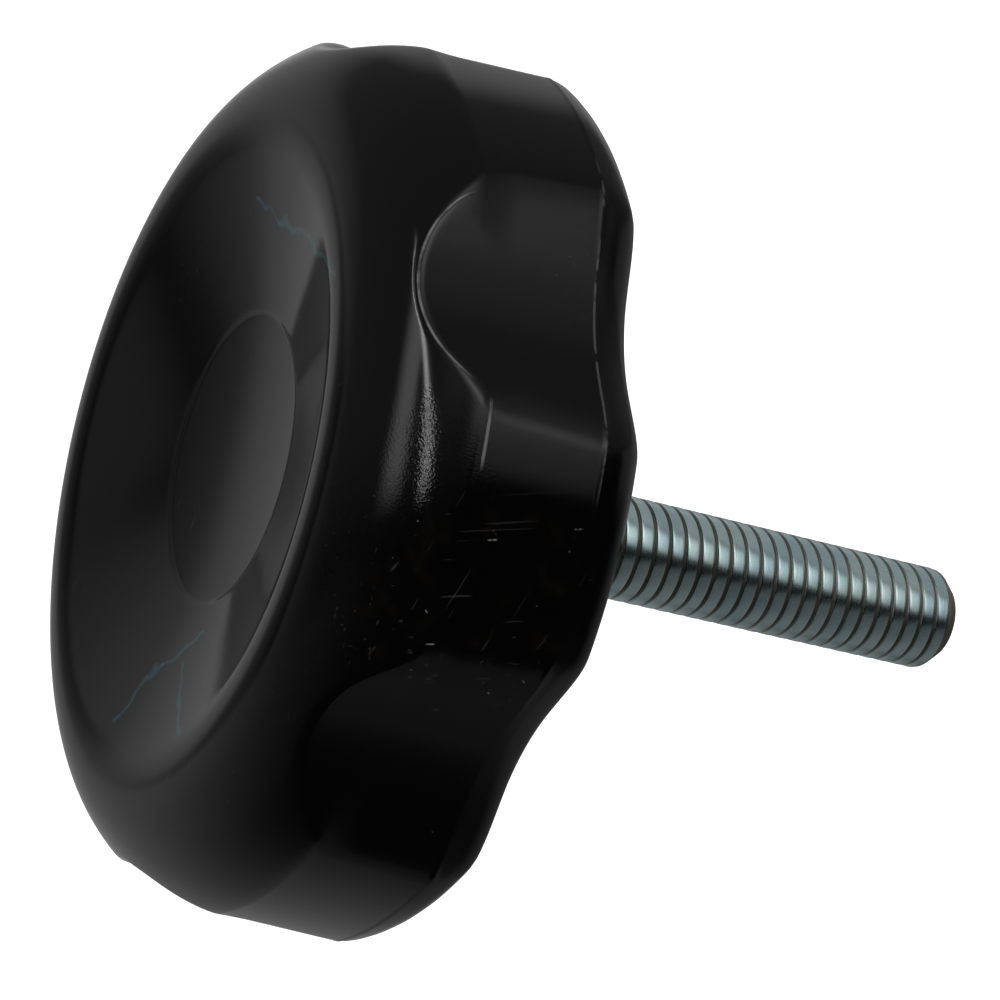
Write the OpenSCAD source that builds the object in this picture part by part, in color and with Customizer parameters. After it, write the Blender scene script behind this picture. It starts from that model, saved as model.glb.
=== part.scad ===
// Lobed clamping knob: a moulded head with scooped finger flutes, on a threaded stud moulded into its hub.
// Millimetres. The axis is Z, the dished face looks up, and the hub's face, where the stud leaves it, is z = 0.

/* [Head] */
// Diameter over the lobes at the parting line
head_d = 49.5; // [48:0.5:54]
// Height of the head, back edge to rim crest
head_h = 15.2; // [14.5:0.1:18]
// Round of the rim, side to crest
rim_r = 6.3; // [5:0.1:6.6]
// Radius lost to draft on the side, parting line to rim round
side_draft = 0.5; // [0.2:0.05:0.7]
// Round on the back edge, which ends at the parting line
back_r = 3.2; // [2.6:0.1:3.6]
// How far the back round is sunk below the back edge, so that it meets the back at a slight corner
back_sink = 0.1; // [0.06:0.01:0.2]

/* [Dish] */
// Depth of the spherical dish at its middle, below the rim crest
dish_depth = 3.2; // [2.4:0.1:3.6]
// Diameter of the shallow round seat in the middle of the dish
pad_d = 16; // [12:0.5:18]
// Step down from the dish to the seat at the seat's edge
pad_step = 0.1; // [0.06:0.02:0.4]
// Radius of the seat's spherical floor, which is flatter than the dish
pad_ball_r = 60; // [54:1:90]

/* [Flutes] */
// Number of finger flutes, with one lobe between each two
flutes = 6; // [5:1:7]
// Radius of the scooped flute
flute_r = 13.6; // [12:0.1:15]
// Depth of the flute below the outer diameter
flute_depth = 2.2; // [1.6:0.1:2.8]
// How far below the parting line the round at the flute's foot starts
foot_drop = 0.2; // [0.1:0.05:0.4]

/* [Underside] */
// Diameter of the hub at its face
hub_d = 16; // [14:0.5:18]
// How far the hub stands out past the back edge
hub_proud = 1; // [0.2:0.1:2]
// Diameter of the countersink round the stud at the hub's face
relief_d = 7.4; // [7:0.1:9]
// Outer diameter of the cored ring at the back edge
core_d = 36; // [33:0.5:37]
// Depth of the cored ring below the back edge
core_depth = 7; // [4:0.5:8]
// Radius lost to draft on each wall of the cored ring
core_draft = 0.5; // [0.2:0.1:0.8]
// Bevel at the foot of the cored ring
core_bevel = 1.2; // [0.5:0.1:1.6]

/* [Stud] */
// Major diameter of the stud's thread
stud_d = 6; // [5.5:0.1:6.5]
// Length of the stud beyond the hub's face
stud_length = 32; // [16:1:50]
// Bevel at the stud's tip
tip_bevel = 0.7; // [0.4:0.1:1]
// How much thinner the plain shank inside the hub is than the thread
shank_drop = 0.65; // [0.4:0.05:0.9]
// Width over the flats of the hexagonal anchor inside the hub
anchor_flats = 10; // [8:0.5:11]
// Thickness of the anchor
anchor_h = 4; // [3:0.1:5]
// Height of the anchor's underside above the hub's face
anchor_z = 3; // [2:0.1:4]
// Clearance round the stud in the moulding, none for a moulded-in stud
moulded_gap = 0; // [0:0.01:0.04]

/* [Hidden] */
$fn = 128;
head_r = head_d / 2;
crest_z = hub_proud + head_h;
rim_c = [head_r - side_draft - rim_r, crest_z - rim_r];
// The dish is a sphere tangent to the rim round.
dish_r = (rim_c[0] * rim_c[0] + dish_depth * dish_depth) / (2 * dish_depth) - rim_r;
dish_c = [0, crest_z - dish_depth + dish_r];
dish_dir = (dish_c - rim_c) / norm(dish_c - rim_c);
dish_p = rim_c + rim_r * dish_dir;
pad_r = pad_d / 2;
pad_edge = dish_c[1] - sqrt(dish_r * dish_r - pad_r * pad_r) - pad_step;
pad_c = [0, pad_edge + sqrt(pad_ball_r * pad_ball_r - pad_r * pad_r)];
back_c = [head_r - back_r, hub_proud + back_r - back_sink];
back_foot = back_c[0] + sqrt(back_r * back_r - (back_r - back_sink) * (back_r - back_sink));
flute_at = head_r - flute_depth + flute_r;
foot_r = back_r - foot_drop;
foot_z = back_c[1] - foot_drop;
over = 1;

// Half section of the head without flutes and underside, radius along x and height along y
module head_section() {
    difference() {
        union() {
            polygon([
                [0, hub_proud],
                [back_foot, hub_proud],
                back_c,
                [head_r, back_c[1]],
                [head_r - side_draft, rim_c[1]],
                rim_c,
                dish_p,
                [0, dish_p[1]]
            ]);
            intersection() {
                translate(back_c) circle(r = back_r);
                polygon([back_c, [back_foot, hub_proud], [head_r + over, hub_proud], [head_r + over, back_c[1]]]);
            }
            intersection() {
                translate(rim_c) circle(r = rim_r);
                polygon([
                    rim_c,
                    rim_c + 2 * rim_r * [1, 0],
                    rim_c + 2 * rim_r * ([1, 0] + dish_dir),
                    rim_c + 2 * rim_r * dish_dir
                ]);
            }
        }
        difference() {
            intersection() {
                translate(dish_c) circle(r = dish_r);
                polygon([dish_c, dish_c - [0, 2 * dish_r], dish_c - 2 * dish_r * dish_dir]);
            }
            square([pad_r, crest_z]);
        }
        intersection() {
            translate(pad_c) circle(r = pad_ball_r);
            square([pad_r, crest_z + over]);
        }
    }
}

// One scooped flute, with a flared foot that carries the back round along the flute
module flute() {
    rotate_extrude()
        difference() {
            union() {
                translate([0, foot_z]) square([flute_r, crest_z]);
                translate([0, -over]) square([flute_r + foot_r, foot_z + over]);
            }
            translate([flute_r + foot_r, foot_z]) circle(r = foot_r);
        }
}

// Hub and cored ring of the underside, as a half section to take away below the hub's face and round the hub
module core_ring() {
    foot = core_draft * (core_depth - core_bevel) / core_depth;
    core_z = hub_proud + core_depth;
    rotate_extrude()
        polygon([
            [hub_d / 2, -over],
            [core_d / 2, -over],
            [core_d / 2, hub_proud],
            [core_d / 2 - foot, core_z - core_bevel],
            [core_d / 2 - foot - core_bevel, core_z],
            [hub_d / 2 + core_draft + core_bevel, core_z],
            [hub_d / 2 + core_draft, core_z - core_bevel],
            [hub_d / 2, 0]
        ]);
}

// Countersink round the stud, so that the hub's flat face is clear of the thread
module stud_relief() {
    rotate_extrude()
        polygon([
            [0, -over],
            [relief_d / 2, -over],
            [relief_d / 2, 0],
            [0, relief_d / 2]
        ]);
}

// The stud with its anchor, grown by a clearance where the head is moulded round it
module stud_form(gap) {
    translate([0, 0, anchor_z - gap])
        cylinder(h = anchor_h + 2 * gap, r = (anchor_flats / 2 + gap) / cos(30), $fn = 6);
    rotate_extrude()
        polygon([
            [0, -stud_length],
            [stud_d / 2 - tip_bevel, -stud_length],
            [stud_d / 2, -stud_length + tip_bevel],
            [stud_d / 2, 0],
            [(stud_d - shank_drop) / 2 + gap, 0],
            [(stud_d - shank_drop) / 2 + gap, anchor_z + anchor_h / 2],
            [0, anchor_z + anchor_h / 2]
        ]);
}

module knob_head() {
    color([0.05, 0.05, 0.05])
        difference() {
            union() {
                rotate_extrude() head_section();
                cylinder(h = hub_proud + over, d = hub_d + 2 * over);
            }
            for (i = [0 : flutes - 1])
                rotate([0, 0, i * 360 / flutes])
                    translate([flute_at, 0, 0])
                        flute();
            core_ring();
            stud_relief();
            stud_form(moulded_gap);
        }
}

module threaded_stud() {
    color([0.72, 0.76, 0.8])
        stud_form(0);
}

knob_head();
threaded_stud();
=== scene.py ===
# %% [markdown]
# # A lobed clamping knob on a threaded stud
# The real object is a black moulded head with six scooped finger flutes, moulded round a zinc-plated
# steel stud. The solids come from the packed CAD part. This script dresses them: it models the soft
# lobe edges and the thread, gives both pieces their finish, and sets up the light and the camera.

# %% Load the solids
import math

import bpy
import numpy as np
from mathutils import Matrix, Vector


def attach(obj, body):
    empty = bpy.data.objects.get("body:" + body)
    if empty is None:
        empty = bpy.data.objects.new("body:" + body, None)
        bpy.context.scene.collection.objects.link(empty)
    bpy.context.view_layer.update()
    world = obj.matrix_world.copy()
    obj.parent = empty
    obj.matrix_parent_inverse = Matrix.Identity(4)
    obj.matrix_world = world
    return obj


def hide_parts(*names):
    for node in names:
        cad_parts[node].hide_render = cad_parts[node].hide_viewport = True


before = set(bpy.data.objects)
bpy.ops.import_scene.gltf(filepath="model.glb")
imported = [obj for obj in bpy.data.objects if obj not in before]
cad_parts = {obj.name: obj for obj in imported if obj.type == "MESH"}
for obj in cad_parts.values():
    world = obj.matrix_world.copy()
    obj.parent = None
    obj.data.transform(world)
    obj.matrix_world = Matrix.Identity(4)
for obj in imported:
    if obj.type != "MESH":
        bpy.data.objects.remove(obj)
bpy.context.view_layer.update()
MM = 0.001

# %% [markdown]
# ## The head's half section
# The head was moulded in two halves that met at the parting line, low on the side. Above it the side
# leans in a little and turns over a large rim round into the dish. Below it a round runs to the back.
# The underside is cored out round a hub, as thick plastic would sink while it cures.
# Each stretch is a list of points, dense where the flutes will cut and sparse where nothing happens.
# A point is a radius and a height in millimetres, and heights start at the hub's face.

# %% Sizes of the dish and its seat
CREST_Z = 16.19
CREST_R = 18.2
CREST_TURN = 1.6
TURN_R = CREST_R - CREST_TURN
WALL_SLOPE = 0.29
FOOT_SLOPE = 0.235
SEAT_R = 8.0
SEAT_STEP = 0.05
SEAT_BALL_R = 60.0
SEAT_SOFT = 0.1 * SEAT_STEP
SEAT_RINGS = np.append(np.linspace(0, SEAT_R - 0.45, 10), SEAT_R - 0.2)
SEAT_CORNER = 0.08
WALL_RINGS = np.append(SEAT_R + 0.2, np.linspace(SEAT_R + 0.5, CREST_R - 0.25, 20))
print("the dish's wall runs from radius", SEAT_R, "to", CREST_R)


# %% Points along the dish, with its shallow round seat
def dish_z(r):
    if r > TURN_R:
        return CREST_Z - WALL_SLOPE * (CREST_R - r) ** 2 / (2 * CREST_TURN)
    down = (TURN_R - r) / (TURN_R - SEAT_R)
    mean_slope = WALL_SLOPE + (FOOT_SLOPE - WALL_SLOPE) * 0.5 * down
    return CREST_Z - WALL_SLOPE * CREST_TURN / 2 - (TURN_R - r) * mean_slope


def seat_z(r):
    return dish_z(SEAT_R) - SEAT_STEP - (SEAT_R**2 - r**2) / (2 * SEAT_BALL_R)


def dish_points():
    inner = SEAT_R - SEAT_CORNER
    outer = SEAT_R + SEAT_CORNER
    seat = [(r, seat_z(r)) for r in SEAT_RINGS]
    corner = [(inner, seat_z(inner) + SEAT_SOFT), (outer, dish_z(outer) - SEAT_SOFT)]
    wall = [(r, dish_z(r)) for r in WALL_RINGS]
    return seat + corner + wall


dish = dish_points()
print("dish points:", len(dish), "depth mm:", round(CREST_Z - dish[0][1], 2))

# %% Sizes of the rim, the side and the back edge
HEAD_R = 24.75
BACK_Z = 1.0
BACK_ROUND = 3.2
BACK_START = 0.06
PARTING_DROP = 0.1
PARTING_Z = BACK_Z + BACK_ROUND - PARTING_DROP
RIDGE_H = 0.035
RIDGE_HALF_W = 0.06
RIDGE_FOOT = 0.14
SIDE_R = HEAD_R - RIDGE_H
SIDE_TOP = (24.3, 10.7)
SIDE_FOOT = (SIDE_R, PARTING_Z + 0.3)
CREST_REACH = 3.8
SIDE_REACH = 0.9
print("parting line at z", round(PARTING_Z, 2))


# %% Points over the rim, down the side and round the back edge
def bezier(p0, p1, p2, p3, count):
    t = np.linspace(0, 1, count)[:, None]
    p0, p1, p2, p3 = (np.array(p) for p in (p0, p1, p2, p3))
    curve = (1 - t) ** 3 * p0 + 3 * (1 - t) ** 2 * t * p1 + 3 * (1 - t) * t**2 * p2 + t**3 * p3
    return [tuple(p) for p in curve]


def side_points():
    crest_handle = (CREST_R + CREST_REACH, CREST_Z)
    side_handle = (SIDE_TOP[0], SIDE_TOP[1] + SIDE_REACH)
    rim = bezier((CREST_R, CREST_Z), crest_handle, side_handle, SIDE_TOP, 60)
    side = [tuple(p) for p in np.linspace(SIDE_TOP, SIDE_FOOT, 14)[1:]]
    ridge = [(SIDE_R + 0.1 * RIDGE_H, PARTING_Z + RIDGE_FOOT)]
    ridge += [(HEAD_R, PARTING_Z + RIDGE_HALF_W), (HEAD_R, PARTING_Z - RIDGE_HALF_W)]
    centre_r = SIDE_R - BACK_ROUND
    centre_z = BACK_Z + BACK_ROUND
    turns = np.linspace(BACK_START, 0.5 * math.pi, 12)
    back = [(centre_r + BACK_ROUND * math.cos(a), centre_z - BACK_ROUND * math.sin(a)) for a in turns]
    return rim + side + ridge + back


outside = side_points()
print("points from the crest to the back:", len(outside))

# %% Sizes of the cored underside and the hub
CORE_R = 18.0
CORE_Z = 8.0
CORE_EDGE = 0.2
CORE_CORNER = [(0.42, 1.4), (0.6, 0.7), (1.1, 0.15), (1.7, 0.0)]
LAND_RINGS = np.linspace(HEAD_R - BACK_ROUND - 0.6, CORE_R + 0.25, 7)
HUB_R = 8.0
HUB_CORNER = [(1.7, 0.0), (1.1, 0.15), (0.62, 0.7), (0.48, 1.4)]
FACE_CORNER = [(0.0, 0.3), (0.09, 0.09), (0.3, 0.0)]
RELIEF_R = 3.7
BORE_R = 2.7
BORE_TOP = 2.9
print("cored ring from radius", HUB_R, "to", CORE_R)


# %% Points of the cored underside and the hub
def underside_points():
    land = [(r, BACK_Z) for r in LAND_RINGS]
    core = [(CORE_R, BACK_Z + CORE_EDGE)]
    core += [(CORE_R - inwards, CORE_Z - down) for inwards, down in CORE_CORNER]
    hub = [(HUB_R + outwards, CORE_Z - down) for outwards, down in HUB_CORNER]
    face = [(HUB_R - inwards, z) for inwards, z in FACE_CORNER]
    bore = [(RELIEF_R, 0.0), (BORE_R, RELIEF_R - BORE_R), (BORE_R, BORE_TOP), (0.0, BORE_TOP)]
    return land + core + hub + face + bore


head_section = dish + outside + underside_points()
print("section points:", len(head_section))

# %% [markdown]
# ## Starting a piece from one point
# A turned or moulded shape starts as its half section. By hand you would merge a plane into one point and
# extrude that point along the section, step by step. The helper does just that, with the radius along X
# and the height along Z. Everything is deselected first, because an operator acts on all that is selected.

# %% Draw the head's section by extruding one point
def section_piece(name, section):
    bpy.ops.object.select_all(action="DESELECT")
    bpy.ops.mesh.primitive_plane_add(size=MM)
    piece = bpy.context.active_object
    piece.name = name
    bpy.ops.object.mode_set(mode="EDIT")
    bpy.ops.mesh.select_all(action="SELECT")
    bpy.ops.mesh.merge(type="CENTER")
    bpy.ops.mesh.select_all(action="SELECT")
    here = (0.0, 0.0)
    for step, (r, z) in enumerate(section):
        move = ((r - here[0]) * MM, 0, (z - here[1]) * MM)
        if step == 0:
            bpy.ops.transform.translate(value=move)
        else:
            bpy.ops.mesh.extrude_region_move(TRANSFORM_OT_translate={"value": move})
        here = (r, z)
    bpy.ops.object.mode_set(mode="OBJECT")
    return piece


head = section_piece("moulded_head", head_section)
print("drawn points:", len(head.data.vertices))

# %% [markdown]
# ## Spinning the head
# Spin sweeps the section round the axis, as the mould's cavity was turned. It leaves doubled points on
# the seam and the axis, so they are merged, and the normals are made to face outwards.

# %% Spin the section into the plain round head
STEPS = 600
DOUBLES = 1e-6
bpy.ops.object.mode_set(mode="EDIT")
bpy.ops.mesh.select_all(action="SELECT")
bpy.ops.mesh.spin(steps=STEPS, angle=2 * math.pi, center=(0, 0, 0), axis=(0, 0, 1))
bpy.ops.mesh.select_all(action="SELECT")
bpy.ops.mesh.remove_doubles(threshold=DOUBLES)
bpy.ops.mesh.normals_make_consistent(inside=False)
bpy.ops.object.mode_set(mode="OBJECT")
print("plain head:", len(head.data.vertices), "points,", len(head.data.polygons), "faces")

# %% [markdown]
# ## Scooping the flutes
# Each flute is a round scoop, parallel to the axis, that runs out in the rim round as an arch. A boolean
# cut would leave a knife edge on each lobe, but the real lobes are softly rounded. So each point moves
# towards the axis by a smooth minimum of its own radius and the scoop's radius. Below the parting line
# the scoop draws in by as much as the back round does, so the round follows the flutes.

# %% The radius that a flute leaves
FLUTES = 6
FLUTE_R = 13.6
FLUTE_DEPTH = 2.2
LOBE_SOFT = 1.7
ARCH_SOFT = 0.25
ARCH_LOW = 9.0
ARCH_HIGH = 13.0
BEYOND = 99.0
SLACK = 0.05


def smooth_min(a, b, soft):
    share = np.clip(soft - np.abs(a - b), 0, None) / soft
    return np.minimum(a, b) - share * share * soft / 4


def flute_radius(angle):
    pitch = 2 * math.pi / FLUTES
    off = (angle + pitch / 2) % pitch - pitch / 2
    centre = HEAD_R - FLUTE_DEPTH + FLUTE_R
    reach = FLUTE_R**2 - (centre * np.sin(off)) ** 2
    return np.where(reach > 0, centre * np.cos(off) - np.sqrt(np.maximum(reach, 0)), BEYOND)


def scooped_radius(r, z, angle):
    in_back = (z < PARTING_Z - SLACK) & (r > SIDE_R - BACK_ROUND - SLACK)
    inset = np.where(in_back, np.maximum(SIDE_R - r, 0), 0)
    arch = np.clip((z - ARCH_LOW) / (ARCH_HIGH - ARCH_LOW), 0, 1)
    soft = LOBE_SOFT + (ARCH_SOFT - LOBE_SOFT) * arch * arch * (3 - 2 * arch)
    return smooth_min(r, flute_radius(angle) - inset, soft)


print("flute floor at radius", round(float(flute_radius(np.zeros(1))[0]), 2))

# %% Where each point is, with the points gathered in the flutes
GATHER = 0.07
GATHER_AGAIN = 0.0167
coords = np.empty(len(head.data.vertices) * 3)
head.data.vertices.foreach_get("co", coords)
coords = coords.reshape(-1, 3)
radius = np.hypot(coords[:, 0], coords[:, 1]) / MM
height = coords[:, 2] / MM
spun = np.arctan2(coords[:, 1], coords[:, 0])
angle = spun - GATHER * np.sin(FLUTES * spun) + GATHER_AGAIN * np.sin(2 * FLUTES * spun)
print("largest turn of a point, degrees:", round(math.degrees(np.abs(angle - spun).max()), 2))

# %% Move the points of the side into the six flutes
TOUCH = 0.01
LAND_MARGIN = 0.1
JUST_OUTSIDE = 0.001
moved = scooped_radius(radius, height, angle)
land_r = SIDE_R - BACK_ROUND
on_land = (np.abs(height - BACK_Z) < TOUCH) & (radius > CORE_R) & (radius < land_r - LAND_MARGIN)
edge_r = np.full_like(radius, land_r + JUST_OUTSIDE)
land_edge = scooped_radius(edge_r, np.full_like(radius, BACK_Z), angle)
drawn_in = CORE_R + (radius - CORE_R) / (land_r - CORE_R) * (land_edge - CORE_R)
moved = np.where(on_land, drawn_in, moved)
outer = (radius > CORE_R - TOUCH) & (height > BACK_Z - TOUCH)
moved = np.where(outer, moved, radius)
coords[:, 0] = moved * np.cos(angle) * MM
coords[:, 1] = moved * np.sin(angle) * MM
head.data.vertices.foreach_set("co", coords.ravel())
print("deepest move mm:", round(float((radius - moved).max()), 2))

# %% [markdown]
# ## Readying the head for its finish
# One layer of the finish follows the edge of a flute, so each point keeps its distance from that edge as
# an attribute on the mesh. Then the faces are shaded smooth, as a polished mould leaves them, and only the
# corners that are sharper than an angle stay sharp.

# %% Keep each point's distance from the flutes' edge
FLUTE_EDGE = "from_flute_edge"
EDGE_RANGE = 3
off_flute = np.clip(radius - flute_radius(angle), -EDGE_RANGE, EDGE_RANGE)
head.data.attributes.new(FLUTE_EDGE, "FLOAT", "POINT").data.foreach_set("value", off_flute)
head.data.update()
print("attribute:", FLUTE_EDGE, "on", len(off_flute), "points")

# %% Smooth shading, with the small sharp corners kept
HEAD_SHARP_DEG = 42
bpy.ops.object.select_all(action="DESELECT")
head.select_set(True)
bpy.context.view_layer.objects.active = head
bpy.ops.object.shade_smooth_by_angle(angle=math.radians(HEAD_SHARP_DEG))
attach(head, "root")
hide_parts("knob_head")
print("head faces:", len(head.data.polygons))

# %% [markdown]
# ## The threaded stud
# The thread is rolled and plated. In the photograph its crests are broad and flat, and its grooves are
# narrow. One pitch of the profile, swept by the Screw modifier, gives the whole thread. A screw that
# rises along its axis as it turns anticlockwise, seen from above, is a right-hand thread.

# %% One pitch of the thread's profile, as radius and height
STUD_R = 3.0
PITCH = 1.0
THREAD_DEPTH = 0.18
ROOT_R = STUD_R - THREAD_DEPTH
CREST_W = 0.78 * PITCH
ROOT_W = 0.04 * PITCH
ROOT_ROUND = [(0.015, 0.0), (0.09, 0.035)]
CREST_ROUND = [(0.07, -0.01), (0.022, 0.02), (0.01, 0.06), (0.003, 0.16)]
FIRST_ROOT = -33.14


def thread_pitch(low):
    """Half a root, a flank and half a crest, then the same mirrored."""
    flank = (PITCH - CREST_W - ROOT_W) / 2
    shoulder = 0.5 * ROOT_W + flank
    half = [(ROOT_R, 0.0)]
    half += [(ROOT_R + rise, 0.5 * ROOT_W + along) for rise, along in ROOT_ROUND]
    half += [(STUD_R - drop, shoulder + along) for drop, along in CREST_ROUND]
    whole = half + [(STUD_R, 0.5 * PITCH)] + [(r, PITCH - z) for r, z in reversed(half)]
    return [(r, low + z) for r, z in whole]


stud = section_piece("zinc_stud", thread_pitch(FIRST_ROOT))
print("thread profile points:", len(stud.data.vertices))

# %% Sweep it with the Screw modifier
TURNS = 35
THREAD_STEPS = 56
sweep = stud.modifiers.new("thread", "SCREW")
sweep.axis = "Z"
sweep.angle = 2 * math.pi
sweep.screw_offset = PITCH * MM
sweep.iterations = TURNS
sweep.steps = THREAD_STEPS
sweep.render_steps = THREAD_STEPS
sweep.use_merge_vertices = True
sweep.merge_threshold = DOUBLES
bpy.ops.object.modifier_apply(modifier=sweep.name)
bpy.ops.object.mode_set(mode="EDIT")
bpy.ops.mesh.select_all(action="SELECT")
bpy.ops.mesh.remove_doubles(threshold=2 * DOUBLES)
bpy.ops.object.mode_set(mode="OBJECT")
print("swept thread:", len(stud.data.polygons), "faces")

# %% [markdown]
# ## Cutting the stud to length
# A real stud is cut and chamfered before its thread is rolled, so the thread fades into the tip. Two
# bisects trim the sweep, and the points near the tip are drawn in to the chamfer. The tip stops a hair
# short of the solid's 32 mm, to stay inside its box. Inside the hub the stud goes on as a plain shank,
# which fills the hole in the moulding.

# %% Trim both ends
STUD_LENGTH = 31.995
THREAD_TOP = -0.03


def cut(height_mm, clear_above):
    bpy.ops.object.mode_set(mode="EDIT")
    bpy.ops.mesh.select_all(action="SELECT")
    bpy.ops.mesh.bisect(
        plane_co=(0, 0, height_mm * MM),
        plane_no=(0, 0, 1),
        threshold=1e-7,
        clear_inner=not clear_above,
        clear_outer=clear_above,
    )
    bpy.ops.object.mode_set(mode="OBJECT")


cut(-STUD_LENGTH, clear_above=False)
cut(THREAD_TOP, clear_above=True)
print("trimmed thread:", len(stud.data.vertices), "points")

# %% Draw in the tip
TIP_R = STUD_R - 0.75
TIP_RISE = 0.85
TIP_SOFT = 0.12
stud_co = np.empty(len(stud.data.vertices) * 3)
stud.data.vertices.foreach_get("co", stud_co)
stud_co = stud_co.reshape(-1, 3)
stud_r = np.hypot(stud_co[:, 0], stud_co[:, 1]) / MM
from_tip = stud_co[:, 2] / MM + STUD_LENGTH
limited = smooth_min(stud_r, TIP_R + from_tip * TIP_RISE, TIP_SOFT)
stud_co[:, :2] *= (np.minimum(limited, stud_r) / stud_r)[:, None]
stud.data.vertices.foreach_set("co", stud_co.ravel())
stud.data.update()
print("tip radius mm:", round(float(limited[from_tip < TOUCH].min()), 2))

# %% Close the ends: a tip face with a soft edge, and the start of the shank
RING_REACH = 0.2
TIP_FACE = 0.9


def open_ring(height_mm):
    bpy.ops.object.mode_set(mode="EDIT")
    bpy.ops.mesh.select_all(action="DESELECT")
    bpy.ops.mesh.select_non_manifold(extend=False)
    bpy.ops.object.mode_set(mode="OBJECT")
    for edge in stud.data.edges:
        ends = [stud.data.vertices[v].co.z / MM for v in edge.vertices]
        edge.select = edge.select and max(abs(e - height_mm) for e in ends) < RING_REACH
    for vertex in stud.data.vertices:
        vertex.select = vertex.select and abs(vertex.co.z / MM - height_mm) < RING_REACH
    bpy.ops.object.mode_set(mode="EDIT")


open_ring(-STUD_LENGTH)
bpy.ops.mesh.extrude_edges_move()
bpy.ops.transform.resize(value=(TIP_FACE, TIP_FACE, 1), center_override=(0, 0, -STUD_LENGTH * MM))
bpy.ops.mesh.fill_holes(sides=0)
bpy.ops.object.mode_set(mode="OBJECT")
open_ring(THREAD_TOP)
bpy.ops.mesh.extrude_edges_move(TRANSFORM_OT_translate={"value": (0, 0, -THREAD_TOP * MM)})
bpy.ops.object.mode_set(mode="OBJECT")
print("stud points:", len(stud.data.vertices))

# %% Draw the shank through the hub
SHANK_R = 2.67
SHANK_TOP = 2.88
SHANK_START = -0.005
for vertex in stud.data.vertices:
    if vertex.co.z / MM > SHANK_START:
        scale = SHANK_R * MM / math.hypot(vertex.co.x, vertex.co.y)
        vertex.co.x *= scale
        vertex.co.y *= scale
open_ring(0.0)
bpy.ops.mesh.extrude_edges_move(TRANSFORM_OT_translate={"value": (0, 0, SHANK_TOP * MM)})
bpy.ops.mesh.fill_holes(sides=0)
print("shank top at z", SHANK_TOP)

# %% Merge, turn the normals outwards and shade
STUD_SHARP_DEG = 38
bpy.ops.mesh.select_all(action="SELECT")
bpy.ops.mesh.remove_doubles(threshold=DOUBLES)
bpy.ops.mesh.normals_make_consistent(inside=False)
bpy.ops.object.mode_set(mode="OBJECT")
bpy.ops.object.shade_smooth_by_angle(angle=math.radians(STUD_SHARP_DEG))
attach(stud, "root")
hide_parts("threaded_stud")
print("stud faces:", len(stud.data.polygons), "box mm:", [round(v / MM, 2) for v in stud.dimensions])

# %% [markdown]
# ## Writing shader maths as sums
# A node tree is easier to read as formulas. This small class wraps one socket: plus, minus, times and
# power each add a Math node, and one method adds any other node from its type, settings and sockets.

# %% A class that wraps a socket
class Field:
    def __init__(self, tree, socket):
        self.tree = tree
        self.socket = socket

    def node(self, kind, settings=None, sockets=None, out=0):
        made = self.tree.nodes.new(kind)
        for key, value in (settings or {}).items():
            setattr(made, key, value)
        for key, value in (sockets or {}).items():
            if isinstance(value, Field):
                self.tree.links.new(value.socket, made.inputs[key])
            else:
                made.inputs[key].default_value = value
        return Field(self.tree, made.outputs[out])

    def maths(self, operation, first, second=0.0):
        return self.node("ShaderNodeMath", {"operation": operation}, {0: first, 1: second})

    def vector(self, operation, sockets, out="Vector"):
        return self.node("ShaderNodeVectorMath", {"operation": operation}, sockets, out)

    def __add__(self, other):
        return self.maths("ADD", self, other)

    def __radd__(self, other):
        return self.maths("ADD", other, self)

    def __sub__(self, other):
        return self.maths("SUBTRACT", self, other)

    def __rsub__(self, other):
        return self.maths("SUBTRACT", other, self)

    def __mul__(self, other):
        return self.maths("MULTIPLY", self, other)

    def __rmul__(self, other):
        return self.maths("MULTIPLY", other, self)

    def __pow__(self, other):
        return self.maths("POWER", self, other)

    def between(self, low, high):
        """Rise softly from 0 at the low value to 1 at the high one."""
        settings = {"interpolation_type": "SMOOTHSTEP"}
        return self.node("ShaderNodeMapRange", settings, {"Value": self, "From Min": low, "From Max": high})

    def mix(self, first, second):
        """Mix two colours by this share. Inputs 6 and 7 of a Mix node take colours, and output 2 is one."""
        return self.node("ShaderNodeMix", {"data_type": "RGBA"}, {0: self, 6: first, 7: second}, out=2)


print("Field can:", [name for name in vars(Field) if not name.startswith("_")])


# %% Helpers that start a material and put a value on its shader
def new_finish(name):
    finish = bpy.data.materials.new(name)
    finish.use_nodes = True
    tree = finish.node_tree
    place = Field(tree, tree.nodes.new("ShaderNodeTexCoord").outputs["Object"])
    return finish, tree.nodes["Principled BSDF"], place.vector("SCALE", {0: place, "Scale": 1 / MM})


def feed(shader, socket, value):
    value.tree.links.new(value.socket, shader.inputs[socket])


moulding, shader, mm = new_finish("black_thermoset_finish")
print("started", moulding.name)

# %% [markdown]
# ## Black thermoset
# The head is a glossy black moulding compound. Its skin is not a perfect mirror: it waves a little where
# the compound shrank, and some patches are duller than others. Patterns are laid out in millimetres on
# the piece itself, so they keep their size. A worn place is a point on the head with a reach round it.

# %% Waves, dull patches and a scuffed lobe
SCUFFED_LOBE = (19.3, -14.8, 8.5)


def noise(where, scale, detail=2.0):
    return where.node("ShaderNodeTexNoise", sockets={"Vector": where, "Scale": scale, "Detail": detail})


def near(place, inner, outer):
    """Fall softly from 1 at the inner distance from a place to 0 at the outer one."""
    return 1 - mm.vector("DISTANCE", {0: mm, 1: place}, "Value").between(inner, outer)


waves = noise(mm, 0.16, 1.0)
peel = noise(mm, 1.6)
patch = noise(mm, 0.11).between(0.46, 0.66)
scuffed = near(SCUFFED_LOBE, 2.0, 8.5)
print("moulding nodes:", len(moulding.node_tree.nodes))

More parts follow.
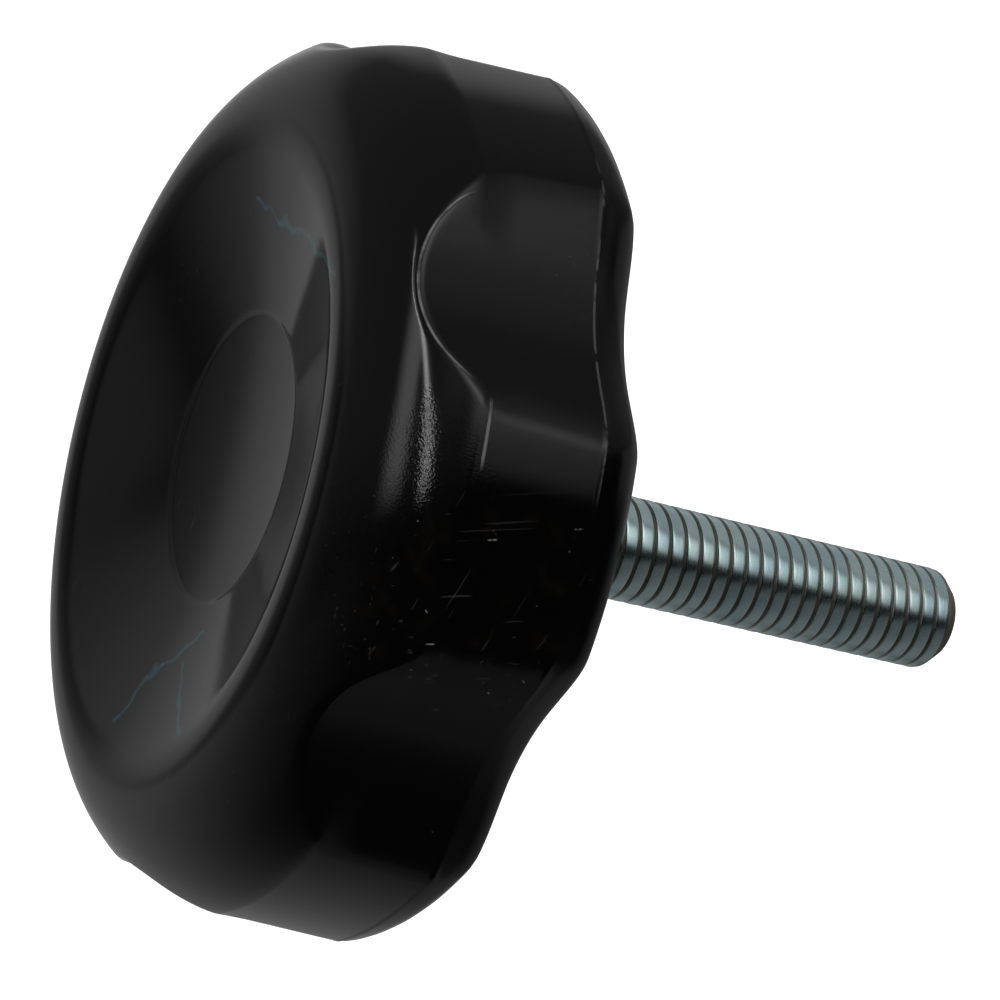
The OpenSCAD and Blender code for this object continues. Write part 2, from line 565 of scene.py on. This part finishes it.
# %% [markdown]
# ## Scratches, scuffs and dust
# A knob that has been used is scratched where it met other things. Hairlines are noise that is stretched
# until only long streaks are left. Scuffs and dust are the points of a Voronoi pattern: each cell has a
# chance of its own, and only the cells with a high one show a mark.

# %% Hairlines along two directions of the lobe
LOBE_TURN = 0.92


def stretched(where, turn, size):
    """Turn the pattern first, then give its cells a size in millimetres along each of their own axes."""
    sockets = {"Vector": where, "Rotation": turn, "Scale": size}
    return where.node("ShaderNodeMapping", {"vector_type": "TEXTURE"}, sockets)


hair_a = noise(stretched(mm, (0, 1.3, LOBE_TURN), (16, 0.22, 0.22)), 1.0, 1.0)
hair_b = noise(stretched(mm, (0, 0.3, LOBE_TURN), (18, 0.25, 0.25)), 1.0, 1.0)
hairline = (hair_a.between(0.72, 0.76) + hair_b.between(0.72, 0.76)) * (patch * 0.3 + scuffed * 0.7)
print("moulding nodes:", len(moulding.node_tree.nodes))

# %% Short scuffs, dust and smudges
DASH = 0.07
SPECK = 0.05


def marks(turn, size, dot, share):
    """Marks of a dot's size, in the cells whose own chance is above a share."""
    where = {"Vector": stretched(mm, turn, size), "Scale": 1.0}
    away = mm.node("ShaderNodeTexVoronoi", sockets=where, out="Distance")
    chance = mm.node("ShaderNodeTexVoronoi", sockets=where, out="Color")
    return (1 - away.between(0.6 * dot, dot)) * chance.between(share, share + 0.03)


dash_a = marks((0, 1.3, LOBE_TURN), (5.0, 0.8, 0.8), DASH, 0.4)
dash_b = marks((0, 2.2, LOBE_TURN), (4.0, 0.7, 0.7), DASH, 0.42)
chipped = noise(mm, 6.0).between(0.42, 0.56)
scuff = (dash_a + dash_b) * scuffed * chipped
dust = marks((0, 0, 0), (1.1, 1.1, 1.1), SPECK, 0.58) * (patch * 0.5 + scuffed * 0.5)
smudge = noise(mm, 0.7, 3.0).between(0.5, 0.75) * scuffed
print("moulding nodes:", len(moulding.node_tree.nodes))

# %% [markdown]
# ## A worn lip, with a painted highlight
# Beside one flute the rim is rubbed rough. A fine bead runs along that flute's arch, and a short crease
# goes on from it at one height of the lobe. Both are far too fine to model, so they are bump, and their
# lines are painted grey. On the bead this grey is partly wear and partly painted highlight. On the crease
# it is painted highlight. The bead follows the distance from the flute's edge that was kept on the mesh.

# %% The rubbed rim, the bead along the arch and the crease
WORN_LIP = (21.5, -9.0, 12.5)
ARCH_LIP = (22.7, 0.5, 13.0)
SIDE_LIP = (23.0, -7.9, 10.4)
BEAD_OFF = 0.04
up = mm.node("ShaderNodeSeparateXYZ", sockets={0: mm}, out="Z")
grit = noise(mm, 8.0) * near(WORN_LIP, 1.5, 4.5)
off_edge = mm.node("ShaderNodeAttribute", {"attribute_name": FLUTE_EDGE}, out="Fac") + BEAD_OFF
on_arch = up.between(11.0, 12.2) * near(ARCH_LIP, 4.5, 7.0)
# The bead's mask carries grey that is partly wear and partly a painted highlight along the arch.
lip = (1 - (off_edge * off_edge).between(0.0005, 0.005)) * on_arch
off_side = up - SIDE_LIP[2]
# The crease's grey is a painted highlight, a line of light along the edge between the side and the rim.
crease = (1 - (off_side * off_side).between(0.001, 0.012)) * near(SIDE_LIP, 1.0, 2.0)
bead = lip + crease
# This noise breaks up the bead's lighter grey, which is part wear and part painted highlight.
rubbed = noise(mm, 0.9, 3.0).between(0.3, 0.62)
print("moulding nodes:", len(moulding.node_tree.nodes))

# %% [markdown]
# ## Veins
# The dish shows a few faint blue-green veins, where streams of the compound met. Each is a chain of
# straight stretches, looked at from above. The place is pushed about by noise before its distance from
# a stretch is taken, so the vein wanders as the compound did.

# %% The dish seen from above, pushed about by noise
WANDER = 2.6
flat = mm.vector("MULTIPLY", {0: mm, 1: (1, 1, 0)})
swirl = mm.node("ShaderNodeTexNoise", sockets={"Vector": flat, "Scale": 0.35, "Detail": 2.0}, out="Color")
centred = mm.vector("SUBTRACT", {0: swirl, 1: (0.5, 0.5, 0)})
push = mm.vector("SCALE", {0: centred, "Scale": WANDER})
bent = mm.vector("MULTIPLY_ADD", {0: push, 1: (1, 1, 0), 2: flat})
print("moulding nodes:", len(moulding.node_tree.nodes))

# %% A few veins in the dish
VEINS = [
    [(5.9, 12.8), (7.7, 10.7), (12.5, 7.0), (17.6, 2.3)],
    [(-1.6, -9.8), (-6.1, -10.0), (-9.9, -12.0)],
    [(-3.6, -11.2), (-0.1, -16.9)],
]
VEIN_W = 0.26


def from_stretch(start, end):
    """Distance from one straight stretch of a vein, looking down on the dish."""
    run = Vector((*end, 0)) - Vector((*start, 0))
    gone = mm.vector("SUBTRACT", {0: bent, 1: (*start, 0)})
    share = mm.vector("DOT_PRODUCT", {0: gone, 1: run / run.length_squared}, "Value")
    held = mm.node("ShaderNodeClamp", sockets={"Value": share})
    foot = mm.vector("SCALE", {0: run, "Scale": held})
    return mm.vector("DISTANCE", {0: gone, 1: foot}, "Value")


vein = 0.0
for path in VEINS:
    for start, end in zip(path, path[1:]):
        vein = vein + (1 - from_stretch(start, end).between(0.0, VEIN_W))
vein = vein * noise(flat, 0.35, 3.0).between(0.25, 0.5) * up.between(12.6, 13.2)
print("moulding nodes:", len(moulding.node_tree.nodes))

# %% [markdown]
# ## The finished moulding
# Where the two halves of the mould met, a thin flash was trimmed off by hand. In one flute the trimmed line
# is painted a lighter grey where it catches the light: partly the trimmed flash, partly a painted
# highlight.
# Then all the layers go on the shader in turn: each is a share between 0 and 1 that mixes its colour over
# what lies below. Heights of the bump are in millimetres.

# %% The trimmed parting line, partly a painted highlight
HIGHLIT_TRIMMED_EDGE = (22.6, 0.0, 4.1)
off_line = up - PARTING_Z
trimmed = noise(mm, 0.6, 3.0).between(0.38, 0.5) * near(HIGHLIT_TRIMMED_EDGE, 6.0, 11.0)
# The parting mask paints the line grey near one flute: partly trimmed flash, partly painted highlight.
parting = (1 - (off_line * off_line).between(0.001, 0.008)) * trimmed
print("moulding nodes:", len(moulding.node_tree.nodes))

# %% Put the colours on the shader
BLACK = (0.0012, 0.0012, 0.0013, 1)
VEIN = (0.004, 0.035, 0.047, 1)
SMUDGE = (0.012, 0.008, 0.003, 1)
# WORN_AND_HIGHLIT is the grey of the worn hairlines, and also of the parting line and the bead, where it is
# partly painted highlight.
WORN_AND_HIGHLIT = (0.06, 0.06, 0.06, 1)
# RUBBED_AND_HIGHLIT is the lighter grey on the bead: partly rubbed wear, partly painted highlight.
RUBBED_AND_HIGHLIT = (0.16, 0.16, 0.16, 1)
DUST = (0.16, 0.15, 0.13, 1)
layers = [
    (vein * 0.55, VEIN),
    (smudge * 0.35, SMUDGE),
    (hairline * 0.3, WORN_AND_HIGHLIT),
    # The grey of the parting line and of the bead is partly flash and wear, partly painted highlight. On
    # the crease it is painted highlight.
    (parting * 0.9 + bead * 0.6, WORN_AND_HIGHLIT),
    (bead * rubbed * 0.6, RUBBED_AND_HIGHLIT),
    (dust * 0.5 + scuff * 0.9, DUST),
]
colour = BLACK
for share, tint in layers:
    colour = share.mix(colour, tint)
feed(shader, "Base Color", colour)
print("colour layers:", len(layers))

# %% Put gloss and bump on the shader
GLOSS = 0.06
WAVE_H = 0.012
GRIT_H = 0.007
BEAD_H = 0.03
DUST_H = 0.012
SCUFF_DEPTH = 0.015
rough = GLOSS + peel * 0.03 + patch * 0.03 + hairline * 0.15 + (dust + scuff) * 0.3
feed(shader, "Roughness", rough)
relief = waves * WAVE_H + grit * GRIT_H + bead * BEAD_H + dust * DUST_H - scuff * SCUFF_DEPTH
bump = mm.node("ShaderNodeBump", sockets={"Strength": 1.0, "Distance": MM, "Height": relief})
feed(shader, "Normal", bump)
shader.inputs["IOR"].default_value = 1.56
shader.inputs["Specular IOR Level"].default_value = 0.5
head.data.materials.clear()
head.data.materials.append(moulding)
print("moulding finish on", head.name)

# %% [markdown]
# ## Bright zinc
# The stud is zinc plated, with a faint blue passivation. Zinc is a metal, so its colour is its
# reflection. The grooves of the thread are painted darker and browner, as painted shade in the recesses,
# and are duller, and rolling leaves fine marks along the thread.

# %% The stud's finish
# The root colour is painted shade: the thread's grooves are painted darker and browner than the crests.
ROOT_SHADE_COLOUR = (0.42, 0.38, 0.31, 1)
ZINC = (0.6, 0.77, 0.77, 1)
BLUE_ZINC = (0.5, 0.68, 0.72, 1)
ROLLED_H = 0.006
CLOUD_H = 0.004
zinc, metal, spot = new_finish("zinc_steel_finish")
east = spot.node("ShaderNodeSeparateXYZ", sockets={0: spot}, out="X")
north = spot.node("ShaderNodeSeparateXYZ", sockets={0: spot}, out="Y")
from_axis = (east * east + north * north) ** 0.5
crest = from_axis.between(ROOT_R + 0.06, STUD_R - 0.03)
cloud = noise(spot, 0.5, 3.0)
rolled = noise(stretched(spot, (0, 0, 0), (1.6, 1.6, 0.11)), 1.0)
plating = cloud.between(0.4, 0.65).mix(ZINC, BLUE_ZINC)
# Where the crest mask falls to 0, down in the grooves, the colour is the painted shade.
feed(metal, "Base Color", crest.mix(ROOT_SHADE_COLOUR, plating))
feed(metal, "Roughness", 0.46 - crest * 0.24 + rolled * 0.08)
marked = rolled * ROLLED_H + cloud * CLOUD_H
bump = spot.node("ShaderNodeBump", sockets={"Strength": 1.0, "Distance": MM, "Height": marked})
feed(metal, "Normal", bump)
metal.inputs["Metallic"].default_value = 1.0
stud.data.materials.clear()
stud.data.materials.append(zinc)
print("zinc finish on", stud.name)

# %% [markdown]
# ## Floor and camera
# The knob keeps its own frame, with the stud straight down, as it would be screwed into a machine. The
# photograph shows it turned, so the camera is rolled instead. A pale floor lies well below the stud's tip,
# and is kept out of the gloss.

# %% The floor
FLOOR_Z = -0.12
FLOOR_SIZE = 6.0
FLOOR_COLOUR = (0.92, 0.92, 0.92, 1)
bpy.ops.object.select_all(action="DESELECT")
bpy.ops.mesh.primitive_plane_add(size=FLOOR_SIZE, location=(0, 0, FLOOR_Z))
floor = bpy.context.active_object
floor.name = "pale_floor"
matte = bpy.data.materials.new("pale_floor_finish")
matte.use_nodes = True
matte.node_tree.nodes["Principled BSDF"].inputs["Base Color"].default_value = FLOOR_COLOUR
matte.node_tree.nodes["Principled BSDF"].inputs["Roughness"].default_value = 0.8
floor.data.materials.append(matte)
floor.visible_glossy = False
print("floor at", FLOOR_Z)

# %% The camera at the photograph's viewing angle
RIGHT = Vector((0.4783, 0.00128, -0.8782))
ABOVE = Vector((0.37692, 0.90291, 0.2066))
TOWARDS = Vector((0.7932, -0.42982, 0.43138))
CAMERA_MM = Vector((164.295, -87.812, 86.545))
camera_data = bpy.data.cameras.new("photo_camera")
camera = bpy.data.objects.new("photo_camera", camera_data)
bpy.context.scene.collection.objects.link(camera)
camera_data.sensor_width = 36.0
camera_data.lens = 133.55
camera_data.clip_start = 0.01
rolled_view = Matrix((RIGHT, ABOVE, TOWARDS)).transposed().to_4x4()
camera.matrix_world = Matrix.Translation(CAMERA_MM * MM) @ rolled_view
bpy.context.scene.camera = camera
print("camera at", [round(v, 4) for v in camera.location])

# %% [markdown]
# ## Studio light
# A glossy black piece shows little but reflections, so the studio is made for them. Softboxes could be
# area lamps, but a lamp has a hard edge, and in the photograph the reflections fade out. So the studio is
# painted on the world as panels with soft edges: each is placed by its bearing round the camera, in degrees
# to the right and upwards, and rises and falls over a stretch of its own.

# %% Bearings of a ray of light, in degrees round the camera
DEGREES = 180 / math.pi
BEHIND_LEFT = -60.0
world = bpy.data.worlds.new("studio")
bpy.context.scene.world = world
world.use_nodes = True
sky = Field(world.node_tree, world.node_tree.nodes.new("ShaderNodeTexCoord").outputs["Generated"])


def along(direction):
    return sky.vector("DOT_PRODUCT", {0: sky, 1: direction}, "Value")


rightwards = sky.maths("ARCTAN2", along(RIGHT), along(TOWARDS)) * DEGREES
limits = {0: rightwards, 1: BEHIND_LEFT + 360, 2: BEHIND_LEFT}
side = sky.node("ShaderNodeMath", {"operation": "WRAP"}, limits)
lift = sky.maths("ARCSINE", along(ABOVE)) * DEGREES
print("bearings run from", BEHIND_LEFT, "to", BEHIND_LEFT + 360)


# %% Soft-edged panels on the camera's side
def band(bearing, stops):
    """Rise between the first two bearings and fall between the last two."""
    return bearing.between(stops[0], stops[1]) * (1 - bearing.between(stops[2], stops[3]))


def panel(across, upwards, glow):
    """Four bearings to the right, four upwards, and a glow. A glow below 0 dims what it lies on."""
    return band(side, across) * band(lift, upwards) * glow


left_box = panel((-45, -34, -30, -25), (2, 15, 44, 58), 1.05)
right_box = panel((12, 34, 46, 66), (6, 28, 46, 60), 0.46)
right_core = panel((28, 33, 40, 50), (20, 28, 40, 54), 0.45)
right_low = panel((34, 42, 52, 60), (-2, 4, 14, 26), 0.22)
right_fade = panel((6, 24, 40, 100), (2, 22, 50, 72), 0.28)
middle = panel((-18, 0, 14, 34), (16, 32, 60, 76), 0.1)
boxes = left_box + right_box + right_core + right_low + right_fade + middle
print("world nodes:", len(world.node_tree.nodes))

# %% A narrow bright strip that curves
STRIP_SIDE = -14
STRIP_LIFT = 8
STRIP_CURVE = 0.014
from_bend = lift - STRIP_LIFT
off_strip = sky.maths("ABSOLUTE", side + from_bend * from_bend * STRIP_CURVE - STRIP_SIDE)
strip = (1 - off_strip.between(0.6, 2.1)) * panel((-54, -48, -12, -9), (3, 9, 52, 60), 5.2)
print("world nodes:", len(world.node_tree.nodes))

# %% Backdrop, ceiling and dim surroundings
backdrop = panel((165, 190, 200, 300), (-95, -20, 32, 58), 0.28)
ceiling = lift.between(-6, 24) * 0.095
dark_oval = panel((222, 233, 249, 256), (-1, 4, 15, 20), -0.12)
low_grey = panel((40, 90, 200, 268), (-100, -95, -72, -20), 0.07)
far_right = panel((150, 165, 185, 200), (4, 18, 46, 62), 0.22)
behind_low = panel((105, 140, 172, 196), (-72, -46, -8, 6), 0.07)
right_edge = panel((92, 108, 150, 172), (-10, -2, 5, 14), 0.12)
left_low = (0 - along(RIGHT)).between(0.5, 0.95) * band(lift, (-62, -36, -10, 4)) * 0.05
around = sky.maths("MAXIMUM", backdrop, ceiling) + dark_oval
dim = low_grey + far_right + behind_low + right_edge + left_low
studio = boxes + strip + around + dim
print("world nodes:", len(world.node_tree.nodes))

# %% A pale surround for the camera itself
PALE = 0.9
background = world.node_tree.nodes["Background"]
seen = sky.node("ShaderNodeLightPath", out="Is Camera Ray")
feed(background, "Strength", seen * PALE + (1 - seen) * studio)
background.inputs["Color"].default_value = (1, 1, 1, 1)
world.cycles_visibility.diffuse = False
world.cycles.sampling_method = "NONE"
bpy.context.scene.view_settings.view_transform = "Standard"
print("world seen by the camera:", PALE)

# %% [markdown]
# ## Lamps
# The painted studio shows in the gloss but lights nothing matt, which keeps the render quick. A wide lamp
# overhead lights the floor and the dust, and is kept out of the gloss. The studio was worked out from what
# the head mirrors. The stud's round side mirrors other parts of the room too, so three weak lamps light
# the stud alone, by light linking.

# %% A lamp over the floor, and three weak ones for the stud alone
LAMP_FAR = 1.2
LAMP_NEAR = 0.6


def lamp(name, direction, distance, size_deg, glow):
    size = 2 * distance * math.tan(math.radians(size_deg / 2))
    data = bpy.data.lights.new(name, "AREA")
    data.shape = "SQUARE"
    data.size = size
    data.energy = glow * math.pi * size**2
    made = bpy.data.objects.new(name, data)
    bpy.context.scene.collection.objects.link(made)
    made.location = direction.normalized() * distance
    made.rotation_euler = direction.to_track_quat("Z", "Y").to_euler()
    return made


overhead = lamp("floor_lamp", Vector((0, 0, 1)), LAMP_FAR, 70, 4.7)
overhead.visible_glossy = False
low_fill = lamp("stud_low_fill", Vector((-0.02, -0.9, -0.43)), LAMP_NEAR, 80, 0.09)
key = lamp("stud_key", Vector((0.9, 0.06, -0.43)), LAMP_NEAR, 36, 0.4)
top_fill = lamp("stud_top_fill", Vector((0.23, 0.8, -0.55)), LAMP_NEAR, 60, 0.22)
stud_only = bpy.data.collections.new("stud_only")
stud_only.objects.link(stud)
for fill in (low_fill, key, top_fill):
    fill.light_linking.receiver_collection = stud_only

# %% [markdown]
# The visual model has to stay inside the solids' box.
